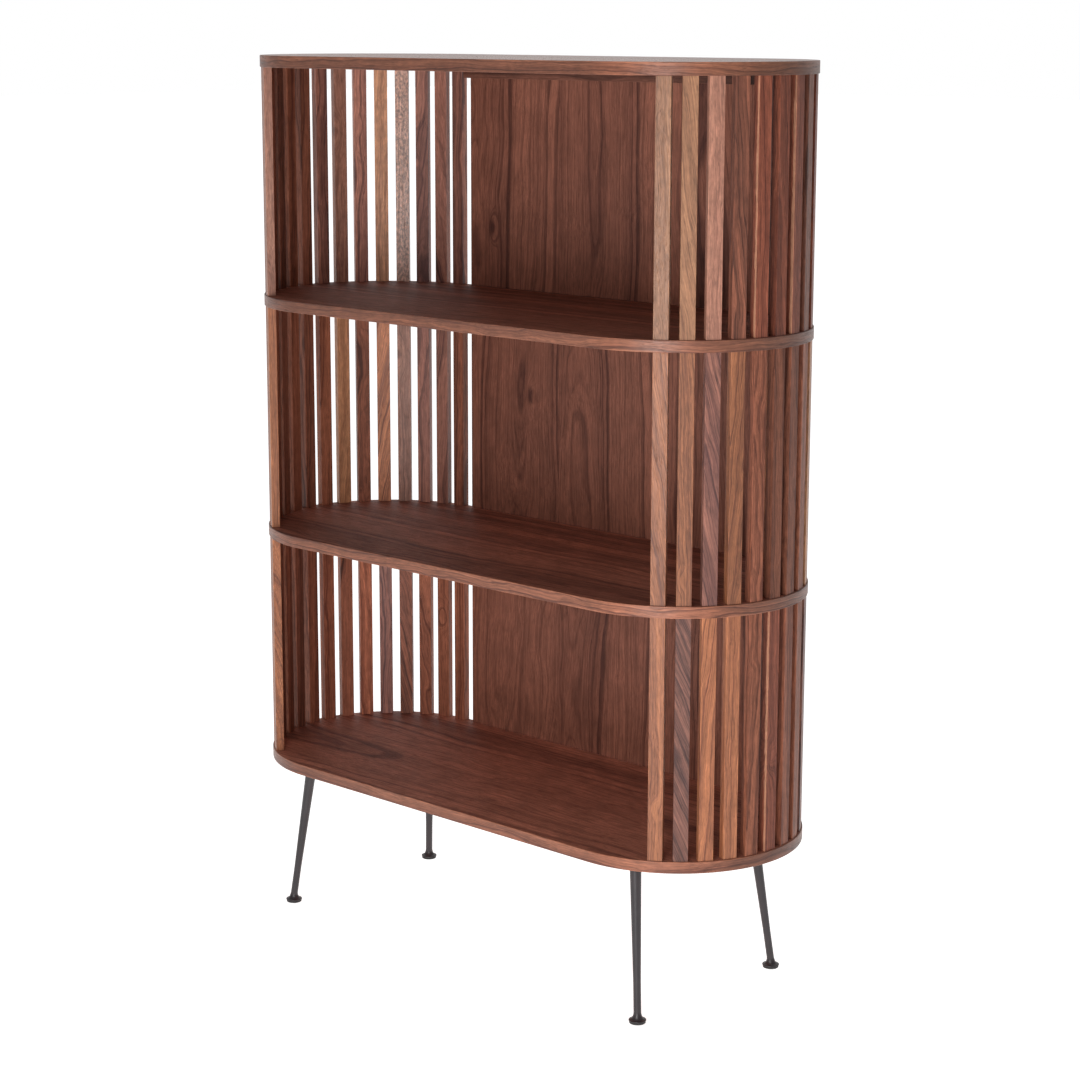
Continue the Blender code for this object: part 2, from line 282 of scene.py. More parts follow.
class Graph:
    """A material's node tree, with one call for each kind of node that the finishes use."""

    def __init__(self, name):
        self.material = bpy.data.materials.new(name)
        self.material.use_nodes = True
        self.nodes = self.material.node_tree.nodes
        self.links = self.material.node_tree.links
        self.shader = self.nodes["Principled BSDF"]

    def node(self, kind, inputs=(), **settings):
        made = self.nodes.new(kind)
        for key, value in settings.items():
            setattr(made, key, value)
        for key, value in dict(inputs).items():
            self.put(made.inputs[key], value)
        return made

    def put(self, socket, value):
        if isinstance(value, bpy.types.NodeSocket):
            self.links.new(value, socket)
        else:
            socket.default_value = value

    def surface(self, **values):
        """Sets the shader's sockets, such as base_color."""
        for key, value in values.items():
            names = {n.lower().replace(" ", "_"): n for n in self.shader.inputs.keys()}
            self.put(self.shader.inputs[names[key]], value)

    def attribute(self, name, output):
        return self.node("ShaderNodeAttribute", attribute_name=name).outputs[output]

    def math(self, operation, a, b=0.0, clamp=False):
        made = self.node("ShaderNodeMath", {0: a, 1: b}, operation=operation, use_clamp=clamp)
        return made.outputs[0]

    def vector(self, operation, a, b):
        return self.node("ShaderNodeVectorMath", {0: a, 1: b}, operation=operation).outputs[0]

    def length(self, vector):
        return self.node("ShaderNodeVectorMath", {0: vector}, operation="LENGTH").outputs["Value"]

    def grey(self, value):
        return self.node("ShaderNodeCombineXYZ", {0: value, 1: value, 2: value}).outputs[0]

    def noise(self, vector, scale, detail=2.0, rough=0.5, output="Fac"):
        """Noise over a vector, stretched by a number or by three of them."""
        if not isinstance(scale, (int, float)):
            vector = self.vector("MULTIPLY", vector, scale)
            scale = 1.0
        inputs = {"Vector": vector, "Scale": scale, "Detail": detail, "Roughness": rough}
        return self.node("ShaderNodeTexNoise", inputs).outputs[output]

    def noise_line(self, value, scale, detail=2.0, rough=0.5):
        """Noise along a single number."""
        inputs = {"W": value, "Scale": scale, "Detail": detail, "Roughness": rough}
        return self.node("ShaderNodeTexNoise", inputs, noise_dimensions="1D").outputs["Fac"]

    def ramp(self, value, start, end, low=0.0, high=1.0):
        """Goes smoothly from low to high as value goes from start to end."""
        inputs = {"Value": value, "From Min": start, "From Max": end, "To Min": low, "To Max": high}
        made = self.node("ShaderNodeMapRange", inputs, interpolation_type="SMOOTHSTEP")
        return made.outputs["Result"]

    def mix(self, factor, a, b, blend="MIX"):
        made = self.node("ShaderNodeMix", data_type="RGBA", blend_type=blend)
        for socket, value in ((made.inputs[0], factor), (made.inputs[6], a), (made.inputs[7], b)):
            self.put(socket, value)
        return made.outputs[2]

    def bump(self, height, distance, strength=1.0):
        inputs = {"Height": height, "Distance": distance, "Strength": strength}
        self.put(self.shader.inputs["Normal"], self.node("ShaderNodeBump", inputs).outputs["Normal"])


def rgb(red, green, blue):
    """A colour given in display values from 0 to 255, as the linear colour that the shader takes."""
    linear = []
    for value in (red, green, blue):
        value /= 255
        linear.append(value / 12.92 if value <= 0.04045 else ((value + 0.055) / 1.055) ** 2.4)
    return (*linear, 1.0)


def walnut(
    name, light, dark, streak, lines, mottle, plum=0.1, rough=0.44, gloss=0.42, size=1.0, eye=0.020
):
    """Oiled walnut. light and dark are the colours between its growth rings and in them.

    streak is the contrast of the broad bands, lines that of the thin dark rings, mottle that of the
    cross figure, and plum how far patches of the wood turn to a cold purple brown. gloss is how
    strongly the oil shines. size stretches the figure, for wide veneers. eye is the radius of a knot.
    """
    g = Graph(name)
    grain = g.attribute("grain", "Vector")
    shade = g.attribute("shade", "Fac")
    # The rings are wavy, because the trunk is: this pushes the point about before they are measured.
    drift = g.noise(grain, (7.0 / size, 7.0 / size, 2.2 / size), detail=3.0, output="Color")
    drift = g.vector("SUBTRACT", drift, (0.5, 0.5, 0.5))
    point = g.vector("ADD", grain, g.vector("MULTIPLY", drift, (0.045 * size, 0.045 * size, 0.0)))
    wobble = g.noise(grain, (26.0 / size, 26.0 / size, 11.0 / size), detail=2.0, output="Color")
    wobble = g.vector("SUBTRACT", wobble, (0.5, 0.5, 0.5))
    point = g.vector("ADD", point, g.vector("MULTIPLY", wobble, (0.010 * size, 0.010 * size, 0.0)))
    ring = g.length(g.vector("MULTIPLY", point, (1.0, 1.0, 0.0)))
    # A knot lifts the rings into closed eyes round it.
    from_knot = g.vector("SUBTRACT", grain, g.attribute("knot", "Vector"))
    from_knot = g.length(g.vector("MULTIPLY", from_knot, (1.0, 1.0, 0.42)))
    knot = g.ramp(from_knot, eye, 0.0)
    ring = g.math("ADD", ring, g.math("MULTIPLY", knot, eye))
    broad = g.noise_line(ring, 46.0 / size, detail=2.0)
    bands = g.noise_line(ring, 190.0 / size, detail=2.0, rough=0.6)
    rings = g.noise_line(ring, 620.0 / size, detail=2.0, rough=0.6)
    streaks = g.noise(point, (210.0 / size, 210.0 / size, 3.5 / size), detail=4.0, rough=0.65)
    fibres = g.noise(point, (560.0, 560.0, 11.0), detail=3.0, rough=0.65)
    flecks = g.noise(point, (800.0, 800.0, 70.0), detail=2.0, rough=0.6)
    pores = g.ramp(g.noise(point, (1500.0, 1500.0, 60.0), detail=1.0), 0.58, 0.72)
    figure = g.noise(point, (80.0 / size, 80.0 / size, 50.0 / size), detail=4.0, rough=0.6)
    patches = g.noise(point, (16.0, 16.0, 2.5), detail=2.0)

    depth = g.math("MULTIPLY", g.ramp(broad, 0.36, 0.64), streak)
    depth = g.math("ADD", depth, g.math("MULTIPLY", g.ramp(bands, 0.50, 0.70), lines * 0.8))
    depth = g.math("ADD", depth, g.math("MULTIPLY", g.ramp(rings, 0.48, 0.70), lines * 0.5))
    depth = g.math("ADD", depth, g.math("MULTIPLY", g.ramp(streaks, 0.44, 0.66), streak * 0.5))
    depth = g.math("ADD", depth, g.math("MULTIPLY", g.ramp(knot, 0.55, 1.0), 0.8), clamp=True)
    colour = g.mix(depth, light, dark)
    cold = tuple(c * k for c, k in zip(dark[:3], (1.05, 1.08, 1.30))) + (1.0,)
    colour = g.mix(g.math("MULTIPLY", g.ramp(patches, 0.48, 0.78), plum), colour, cold)
    # A painted highlight: a pale strip along the front arris of some slats' sides, its edge broken by the
    # streaks
    glint = g.math("ADD", g.attribute("glint", "Fac"), g.ramp(streaks, 0.3, 0.7, -0.12, 0.12))
    colour = g.mix(g.ramp(glint, 0.66, 0.74), colour, PAINTED_GLINT)
    texture = g.ramp(fibres, 0.34, 0.66, 0.80, 1.18)
    texture = g.math("MULTIPLY", texture, g.ramp(flecks, 0.30, 0.70, 0.88, 1.12))
    swing = mottle * 0.5
    texture = g.math("MULTIPLY", texture, g.ramp(figure, 0.3, 0.7, 1.0 - swing, 1.0 + swing))
    texture = g.math("MULTIPLY", texture, g.ramp(pores, 0.0, 1.0, 1.0, 0.72))
    # Rounded edges painted 15 % lighter: partly wear and partly a painted highlight along the arris
    texture = g.math("MULTIPLY", texture, g.ramp(g.attribute("edge", "Fac"), 0.0, 1.0, 1.0, 1.15))
    # The shade: each piece's own tone, with painted light and shade on boards, lippings, the rail and some
    # slats
    texture = g.math("MULTIPLY", texture, shade)
    colour = g.mix(1.0, colour, g.grey(texture), "MULTIPLY")
    roughness = g.ramp(fibres, 0.2, 0.8, rough + 0.08, rough - 0.06)
    roughness = g.math("ADD", roughness, g.math("MULTIPLY", pores, 0.18))
    height = g.math("SUBTRACT", g.math("MULTIPLY", fibres, 0.6), pores)
    g.surface(base_color=colour, roughness=roughness, specular_ior_level=gloss)
    g.bump(height, 0.00014, 0.7)
    return g.material


def powder_coat(name, colour, rough):
    """Matte powder-coated steel, with fine orange peel and slightly polished high spots."""
    g = Graph(name)
    place = g.node("ShaderNodeTexCoord").outputs["Object"]
    peel = g.noise(place, 1400.0, detail=3.0)
    cloud = g.noise(place, 35.0, detail=3.0)
    tone = g.ramp(cloud, 0.3, 0.7, 0.90, 1.12)
    tone = g.math("MULTIPLY", tone, g.ramp(peel, 0.3, 0.7, 0.92, 1.08))
    g.surface(base_color=g.mix(1.0, colour, g.grey(tone), "MULTIPLY"))
    g.surface(roughness=g.ramp(peel, 0.3, 0.7, rough + 0.06, rough - 0.06), specular_ior_level=0.5)
    g.bump(peel, 0.00008, 0.5)
    return g.material


def moulded_plastic(name, colour):
    """Dark plastic with the fine grit of its mould."""
    g = Graph(name)
    place = g.node("ShaderNodeTexCoord").outputs["Object"]
    grit = g.noise(place, 2600.0, detail=2.0)
    worn = tuple(c * 1.5 for c in colour[:3]) + (1.0,)
    g.surface(base_color=g.mix(g.ramp(grit, 0.3, 0.7), colour, worn))
    g.surface(roughness=g.ramp(grit, 0.3, 0.7, 0.62, 0.74))
    g.bump(grit, 0.00006, 0.5)
    return g.material


def zinc_plate(name):
    """Bright zinc plating with a slight haze."""
    g = Graph(name)
    place = g.node("ShaderNodeTexCoord").outputs["Object"]
    haze = g.noise(place, 700.0, detail=3.0)
    g.surface(base_color=g.mix(haze, (0.42, 0.42, 0.44, 1.0), (0.62, 0.61, 0.60, 1.0)), metallic=1.0)
    g.surface(roughness=g.ramp(haze, 0.3, 0.7, 0.24, 0.40))
    g.bump(haze, 0.00003, 0.4)
    return g.material


def pale_floor(name):
    """A white studio floor that glows a little, so that it meets the backdrop without an edge."""
    g = Graph(name)
    place = g.node("ShaderNodeTexCoord").outputs["Object"]
    cloud = g.noise(place, 1.5, detail=2.0)
    g.surface(base_color=g.mix(cloud, (0.93, 0.93, 0.93, 1.0), (0.95, 0.95, 0.95, 1.0)), roughness=0.9)
    g.surface(specular_ior_level=0.1, emission_color=(1.0, 1.0, 1.0, 1.0), emission_strength=FLOOR_GLOW)
    return g.material


# Colour of the painted highlight along the front arris of some slats
PAINTED_GLINT = rgb(182, 128, 101)
HONEY = walnut(
    "walnut_honey", rgb(183, 129, 93), rgb(130, 84, 59), 0.45, 0.5, 0.25, plum=0.05, size=0.75, eye=0.011
)
ROSE = walnut("walnut_rose", rgb(170, 119, 98), rgb(122, 80, 66), 0.45, 0.45, 0.3, plum=0.2, size=0.75)
AMBER = walnut("walnut_amber", rgb(180, 114, 76), rgb(112, 64, 44), 0.5, 0.6, 0.15, size=0.75, eye=0.014)
CHESTNUT = walnut("walnut_chestnut", rgb(148, 90, 67), rgb(90, 50, 38), 0.6, 0.6, 0.2, gloss=0.2, size=0.8)
RUSSET = walnut("walnut_russet", rgb(152, 86, 64), rgb(96, 50, 38), 0.55, 0.6, 0.2, gloss=0.2, size=0.8)
UMBER = walnut("walnut_umber", rgb(138, 84, 64), rgb(72, 42, 33), 0.6, 0.6, 0.2, plum=0.2, gloss=0.25)
PLUM = walnut("walnut_plum", rgb(148, 98, 82), rgb(76, 46, 42), 0.6, 0.6, 0.2, plum=0.5, eye=0.012)
CURLY = walnut(
    "walnut_curly", rgb(182, 134, 112), rgb(112, 72, 56), 0.3, 0.3, 1.2, rough=0.34, gloss=0.6, size=0.3
)
BOARD_WOOD = walnut(
    "walnut_board_veneer", rgb(150, 96, 78), rgb(90, 53, 43), 0.55, 0.5, 0.3,
    rough=0.55, gloss=0.26, size=2.0, eye=0.024,
)
TOP_WOOD = walnut(
    "walnut_top_veneer", rgb(152, 100, 80), rgb(90, 54, 43), 0.5, 0.5, 0.2, rough=0.26, gloss=0.5, size=2.0
)
BAND_WOOD = walnut(
    "walnut_lipping", rgb(160, 101, 75), rgb(98, 56, 42), 0.5, 0.7, 0.2, rough=0.38, gloss=0.4
)
PANEL_WOOD = walnut(
    "walnut_panel_veneer", rgb(144, 91, 73), rgb(78, 44, 36), 0.35, 0.65, 0.2, gloss=0.2, size=2.5
)
LOOKS = [HONEY, ROSE, AMBER, CHESTNUT, RUSSET, UMBER, PLUM, CURLY]
BLACK_METAL = powder_coat("black_powder_coat", (0.029, 0.023, 0.026, 1.0), 0.38)
GLIDE_PLASTIC = moulded_plastic("glide_moulded_plastic", (0.022, 0.022, 0.022, 1.0))
ZINC = zinc_plate("screw_zinc_plate")


def slat(look, shade=1.0, slope=0.02, knot=None, painted_glint=False):
    """One slat's wood: its look, how light it is (its own tone, with painted light on some), how its
    grain slopes, how far up its length a knot lies, and whether a painted highlight runs along the
    arris of the side that it turns to the front."""
    return look, shade, slope, knot, painted_glint


# The slats round each end from the front, as far as they can be told apart. The rest are drawn by lot.
RIGHT_SLATS = {
    "upper": [
        slat(HONEY, 0.74, 0.02, 0.86),
        slat(HONEY, 0.77, 0.14, 0.96),
        slat(ROSE, 1.2, 0.01),
        slat(UMBER, 1.28, 0.06),
        slat(RUSSET, 1.06, 0.03, painted_glint=True),
        slat(RUSSET, 0.74, 0.05),
        slat(RUSSET, 0.8, 0.0, 0.25, painted_glint=True),
        slat(UMBER, 0.85, 0.0),
    ],
    "middle": [
        slat(AMBER, 0.83, 0.16),
        slat(AMBER, 0.75, 0.05, 0.1),
        slat(PLUM, 1.25, 0.22),
        slat(AMBER, 0.76, -0.1, 0.55),
        slat(CHESTNUT, 1.21, 0.0),
        slat(CHESTNUT, 0.72, 0.02),
        slat(CHESTNUT, 0.83, 0.06),
        slat(CHESTNUT, 1.1, 0.0),
    ],
    "lower": [
        slat(AMBER, 0.96, 0.0, 0.22),
        slat(PLUM, 0.85, 0.42),
        slat(AMBER, 1.17, -0.08),
        slat(AMBER, 1.13, 0.01),
        slat(CHESTNUT, 0.99, -0.03),
        slat(RUSSET, 0.97, 0.05, 0.4, painted_glint=True),
        slat(CHESTNUT, 1.15, 0.02),
        slat(CHESTNUT, 1.0, 0.0),
    ],
}
# On the left end the slats' inner faces are painted lighter, in place of light that does not reach them,
# and several upper ones take the plum look for a painted grey sheen
LEFT_SLATS = {
    "upper": [
        slat(ROSE),
        slat(UMBER, 1.3),
        slat(CHESTNUT, 1.2),
        slat(UMBER, 1.2),
        slat(CHESTNUT, 1.1),
        slat(UMBER, 1.2),
        slat(PLUM, 1.3),
        slat(ROSE, 1.0, 0.0, 0.7),
        slat(PLUM, 1.8, 0.03, 0.72),
        slat(HONEY, 1.46, 0.02),
        slat(CURLY, 1.1, 0.0),
        slat(PLUM, 1.62, 0.1, 0.55),
        slat(PLUM, 1.37, -0.12),
        slat(PLUM, 1.3),
    ],
    "middle": [
        slat(AMBER, 0.95),
        slat(UMBER, 1.2),
        slat(CHESTNUT, 1.2),
        slat(UMBER, 1.2),
        slat(CHESTNUT, 1.1),
        slat(UMBER, 1.2),
        slat(CHESTNUT, 1.05),
        slat(HONEY, 1.08, 0.04),
        slat(UMBER, 1.38),
        slat(AMBER, 1.33, 0.2),
        slat(ROSE, 0.93, 0.0, 0.7),
        slat(PLUM, 1.5),
        slat(PLUM, 1.12, 0.1),
        slat(UMBER, 1.5),
    ],
    "lower": [
        slat(AMBER, 1.0, 0.3),
        slat(RUSSET, 1.2),
        slat(UMBER, 1.2),
        slat(CHESTNUT, 1.1),
        slat(UMBER, 1.2),
        slat(CHESTNUT, 1.1),
        slat(CHESTNUT, 1.45),
        slat(UMBER, 1.3),
        slat(CHESTNUT, 1.95, 0.0),
        slat(PLUM, 1.95, 0.05, 0.8),
        slat(UMBER, 1.48, -0.25),
        slat(CHESTNUT, 1.4, -0.2),
        slat(CHESTNUT, 1.27, 0.0, 0.5),
        slat(CHESTNUT, 1.42),
    ],
}
# Painted light on each board's wood: the shelves painted lighter than the top, and the lower ones lighter
# still, in place of light reaching into them
BOARD_PAINTED_LIGHT = {"bottom_board": 1.58, "shelf_lower": 1.55, "shelf_upper": 1.22, "top_board": 1.1}
# Painted shade on each lipping: the upper lippings painted darker than the lower ones
BAND_PAINTED_SHADE = {"bottom_board": 1.05, "shelf_lower": 1.0, "shelf_upper": 0.82, "top_board": 0.71}
# Painted light along a lipping's length, from the middle of the front round the right end: a
# painted highlight round the right front corner, and painted shade beyond it
BAND_PAINTED_LIGHT_ALONG = [
    (-0.3, 0.92), (0.32, 1.0), (0.37, 1.22), (0.48, 1.22),
    (0.58, 0.76), (0.68, 0.66), (0.85, 0.8), (1.6, 0.92),
]
# The same for the top board's lipping, whose painted highlight near the right front corner is brighter
TOP_BAND_PAINTED_LIGHT_ALONG = [
    (-0.3, 0.92), (0.325, 1.04), (0.35, 1.45), (0.385, 1.75), (0.44, 1.4),
    (0.5, 1.22), (0.58, 0.76), (0.68, 0.6), (0.85, 0.75), (1.6, 0.92),
]


def keep(piece, material, body, slot, *nodes):
    """Gives a finished piece its material, ties it to its body and hides the CAD parts that it stands for.
    slot is not used.
    """
    piece.data.materials.append(material)
    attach(piece, body)
    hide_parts(*nodes)


# ---------------------------------------------------------------- case


def build_slats():
    """84 slats, one for each place and tier, each with its own figure, slope of grain and shade."""
    for end, side, known in (("left", -1, LEFT_SLATS), ("right", 1, RIGHT_SLATS)):
        for i in range(SLATS_PER_END):
            node = f"slat_{end}_{i + 1:02d}"
            low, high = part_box(node)
            middle = (low + high) / 2
            turn = side * math.atan2(side * middle.x - END_CENTRE, -middle.y)
            place = Matrix.Translation((middle.x, middle.y, 0.0)) @ Matrix.Rotation(turn, 4, "Z")
            for tier, tier_name in enumerate(TIERS):
                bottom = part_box(BOARDS[tier])[1].z + JOINT
                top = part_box(BOARDS[tier + 1])[0].z - JOINT
                drawn = slat(
                    random.choice(LOOKS), random.uniform(*SLAT_SHADES), random.uniform(*SLAT_SLOPES)
                )
                row = known[tier_name]
                traits = row[i] if i < len(row) else drawn
                build_slat(f"{node}_{tier_name}", node, traits, side, bottom, top, place)


def build_slat(name, node, traits, side, bottom, top, place):
    """One slat, made upright at the origin with its outer face to the front, then put in its place."""
    look, shade, slope, knot_share, painted_glint = traits
    section = eased_rectangle(SLAT_WIDTH, SLAT_DEPTH, ARRIS, ARRIS_STEPS)
    bm = bmesh.new()
    loft(bm, [[(x, y, z) for x, y in section] for z in (bottom, top)])
    piece = finish_mesh(name, bm)
    spot = somewhere()
    quarter = random.random() < 0.5

    def grain(point, _=None):
        along = point.z - bottom
        x = point.x + slope * along
        return spot + (Vector((point.y, x, along)) if quarter else Vector((x, point.y, along)))

    # The painted highlight covers the outer half of the side that the slat turns to the front
    def glint_at(point, face):
        return 1.0 if painted_glint and -side * face.normal.x > 0.9 and point.y < 0 else 0.0

    knot = NO_KNOT
    if knot_share is not None:
        off = random.uniform(-KNOT_REACH, KNOT_REACH) * SLAT_WIDTH
        knot = grain(Vector((off, 0.0, bottom + knot_share * (top - bottom))))
    set_wood(piece, grain, shade, knot, glint_at)
    piece.data.transform(place)
    keep(piece, look, "case", "walnut_slat", node)


def build_boards():
    """Each board's veneered core, and the bent lipping round it."""
    for name in BOARDS:
        low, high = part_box(name)
        bottom, top = low.z, high.z
        bm = bmesh.new()
        inner = END_RADIUS - BAND - JOINT / 4
        loft(bm, [[(x, y, z) for x, y in stadium(inner)] for z in (bottom, top)])
        core = finish_mesh(f"{name}_core", bm)
        spot = somewhere()
        knot = spot + Vector((random.uniform(-0.1, 0.1), 0.0, random.uniform(-0.2, 0.3)))
        # The core's shade carries the board's painted light
        set_wood(core, lambda p, _: spot + Vector((p.y, p.z - bottom, p.x)), BOARD_PAINTED_LIGHT[name], knot)
        keep(core, BOARD_WOOD, "case", "walnut_board", name)
        if name == "top_board":
            core.data.materials.append(TOP_WOOD)
            for face in core.data.polygons:
                face.material_index = 1 if face.normal.z > 0.9 else 0

        bm = bmesh.new()
        rings = []
        for inset, z in band_section(bottom, top):
            rings.append([(x, y, z) for x, y in stadium(END_RADIUS - inset)])
        loft(bm, rings, closed=True)
        band = finish_mesh(f"{name}_lipping", bm)
        band_spot = somewhere()
        # The lipping's painted shade, and its painted highlight and shade along its length
        painted_lights = TOP_BAND_PAINTED_LIGHT_ALONG if name == "top_board" else BAND_PAINTED_LIGHT_ALONG
        set_wood(
            band,
            lambda p, _: band_spot + along_band(p, bottom),
            BAND_PAINTED_SHADE[name],
            painted_light_at=lambda p: painted_band_light(painted_lights, along_band(p, bottom).z),
        )
        keep(band, BAND_WOOD, "case", "walnut_edge_band", f"{name}_edge_band")


def band_section(bottom, top):
    """The lipping's section as (inset, height) points, eased along both outer edges."""
    turns = [math.pi / 2 * i / ARRIS_STEPS for i in range(ARRIS_STEPS + 1)]
    lower = [(BAND_EASE * (1 - math.sin(a)), bottom + BAND_EASE * (1 - math.cos(a))) for a in turns]
    upper = [(inset, bottom + top - z) for inset, z in reversed(lower)]
    return [(BAND, bottom)] + lower + upper + [(BAND, top)]


def along_band(point, bottom):
    """Grain place on a band: across its height, through its thickness, and along its length."""
    side = 1 if point.x > 0 else -1
    past = abs(point.x) - END_CENTRE
    if past > 0:
        length = side * (END_CENTRE + END_RADIUS * math.atan2(past, -point.y))
    elif point.y < 0:
        length = point.x
    else:
        length = side * (END_CENTRE + END_RADIUS * math.pi + END_CENTRE - abs(point.x))
    return Vector((point.z - bottom, 0.0, length))


def painted_band_light(painted_lights, length):
    """The painted highlight and shade on the strip of wood at this length from the middle of the front."""
    for (start, low), (end, high) in zip(painted_lights, painted_lights[1:]):
        if start <= length <= end:
            return low + (high - low) * (length - start) / (end - start)
    return painted_lights[0][1]


def build_back():
    """Three panels with their veneer laid in upright leaves, and the rail under the top board."""
    for tier_name in TIERS:
        node = f"back_panel_{tier_name}"
        low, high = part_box(node)
        size = high - low
        middle = (low + high) / 2
        bm = bmesh.new()
        section = eased_rectangle(size.x + PANEL_SPREAD, size.y, PANEL_EASE, PANEL_EASE_STEPS)
        loft(bm, [[(x, y, z) for x, y in section] for z in (low.z, high.z)])
        for i in range(1, VENEER_LEAVES):
            cut = (i / VENEER_LEAVES - 0.5) * size.x
            geometry = bm.verts[:] + bm.edges[:] + bm.faces[:]
            bmesh.ops.bisect_plane(bm, geom=geometry, plane_co=(cut, 0, 0), plane_no=(1, 0, 0))
        panel = finish_mesh(f"{node}_veneered", bm)
        spots = [somewhere() for _ in range(VENEER_LEAVES)]
        leaf_width = size.x / VENEER_LEAVES

        def leaf_grain(point, centre):
            leaf = min(VENEER_LEAVES - 1, int((centre.x / size.x + 0.5) * VENEER_LEAVES))
            across = point.x - (leaf + 0.5 - VENEER_LEAVES / 2) * leaf_width
            return spots[leaf] + Vector((across - HEART, point.y, point.z))

        knot = Vector(PANEL_KNOTS[tier_name]) + Vector((0.0, 0.0, low.z))
        set_wood(panel, leaf_grain, PANEL_SHADES[tier_name], leaf_grain(knot, knot))
        panel.data.transform(Matrix.Translation((middle.x, middle.y, 0.0)))
        keep(panel, PANEL_WOOD, "case", "walnut_back_panel", node)
    node = "back_top_rail"
    low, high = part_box(node)
    size = high - low
    middle = (low + high) / 2
    bm = bmesh.new()
    section = eased_rectangle(size.y, size.z, ARRIS, ARRIS_STEPS)
    loft(bm, [[(x, middle.y + y, middle.z + z) for y, z in section] for x in (low.x, high.x)])
    rail = finish_mesh("back_top_rail_planed", bm)
    spot = somewhere()
    # The rail's painted shade
    set_wood(rail, lambda p, _: spot + Vector((p.y, p.z, p.x)), shade=RAIL_PAINTED_SHADE)
    keep(rail, BOARD_WOOD, "case", "walnut_board", node)


# ---------------------------------------------------------------- legs


def arris_turns():
    """Angles at which an eased edge is drawn, without its start."""
    return [math.pi / 2 * i / ARRIS_STEPS for i in range(1, ARRIS_STEPS + 1)]


def leg_profile(top):
    """(radius, height) points of a leg, from the roof of its glide's hole round the foot to its top."""
    sole = GLIDE_HEIGHT + JOINT
    rim = sole + FOOT_RIM
    flat = FOOT_RADIUS - FOOT_EASE
    points = [(GLIDE_HOLE, sole + GLIDE_STUD + JOINT), (GLIDE_HOLE, sole), (flat, sole)]
    for turn in arris_turns():
        points.append((flat + FOOT_EASE * math.sin(turn), sole + FOOT_EASE * (1 - math.cos(turn))))
    for turn in arris_turns():
        points.append((flat + FOOT_EASE * math.cos(turn), rim - FOOT_EASE * (1 - math.sin(turn))))
    for i in range(1, COVE_STEPS + 1):
        turn = math.pi / 2 * i / COVE_STEPS
        radius = flat - (flat - LEG_NECK) * math.sin(turn)
        points.append((radius, rim + COVE_HEIGHT * (1 - math.cos(turn))))
    points += [(LEG_NECK, LEG_TAPER), (LEG_TOP, top)]
    return points


def build_legs():
    """The legs, each with its plate, its two screws and the glide under its foot."""
    for label in ("front_left", "front_right", "back_left", "back_right"):
        glide_low, glide_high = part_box(f"glide_{label}")
        foot = (glide_low + glide_high) / 2
        plate_low, plate_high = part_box(f"leg_plate_{label}")
        head = (plate_low + plate_high) / 2

        def centre_at(height):
            share = max(0.0, height - STRAIGHT_FOOT) / (plate_low.z - STRAIGHT_FOOT)
            return foot.x + share * (head.x - foot.x), foot.y + share * (head.y - foot.y)

        bm = bmesh.new()
        turned(bm, leg_profile(plate_low.z - JOINT), ROUND_STEPS, centre_at)
        leg = finish_mesh(f"leg_{label}_coated", bm)
        keep(leg, BLACK_METAL, "case", "black_metal", f"leg_{label}")

        bm = bmesh.new()
        size = plate_high - plate_low
        straight = (size.x - size.y) / 2
        rings = []
        for inset, z in (
            (PLATE_EASE, plate_low.z), (0.0, plate_low.z + PLATE_EASE), (0.0, plate_high.z)
        ):
            outline = stadium(size.y / 2 - inset, PLATE_STEPS, straight)
            rings.append([(head.x + x, head.y + y, z) for x, y in outline])
        loft(bm, rings)
        plate = finish_mesh(f"leg_plate_{label}_coated", bm)
        for side in "ab":
            node = f"plate_screw_{label}_{side}"
            build_screw(node, plate, *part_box(node))
        keep(plate, BLACK_METAL, "case", "black_metal", f"leg_plate_{label}")
        build_glide(label, foot, glide_high.z)


def build_screw(node, plate, low, high):
    """A countersunk screw, head down, with a cross recess in its head, and its hole in the plate."""
    middle = (low + high) / 2
    face = low.z
    head = (high.x - low.x) / 2

    def rings(extra):
        return [
            (head + extra, face + SCREW_RIM + extra),
            (SCREW_SHANK + extra, face + SCREW_HEAD_HEIGHT + extra),
        ]

    bm = bmesh.new()
    tip = [(SCREW_SHANK, high.z - SCREW_POINT), (SCREW_SHANK / 3, high.z)]
    turned(bm, [(head, face)] + rings(0.0) + tip, SCREW_STEPS, lambda _: (middle.x, middle.y))
    screw = finish_mesh(f"{node}_cross_head", bm)
    carve(screw, recess_bar(middle, face, 0.0), recess_bar(middle, face, math.pi / 2))
    keep(screw, ZINC, "case", "zinc_screw", node)

    bm = bmesh.new()
    mouth = [(head + JOINT, face - CUTTER_CLEAR)]
    far = [(SCREW_SHANK + JOINT, high.z)]
    turned(bm, mouth + rings(JOINT) + far, SCREW_STEPS, lambda _: (middle.x, middle.y))
    carve(plate, finish_mesh("screw_hole", bm))


def recess_bar(middle, face, turn):
    """One bar of the tapered cross that a driver fits, up into a screw's head."""
    spin = Matrix.Rotation(turn, 4, "Z")
    bm = bmesh.new()
    rings = []
    for z, (long, wide) in ((face - CUTTER_CLEAR, RECESS_MOUTH), (face + RECESS_DEPTH, RECESS_ROOT)):
        ring = [Vector((x * long, y * wide, z)) for x, y in CORNERS]
        rings.append([spin @ point + Vector((middle.x, middle.y, 0.0)) for point in ring])
    loft(bm, rings)
    return finish_mesh("recess", bm)


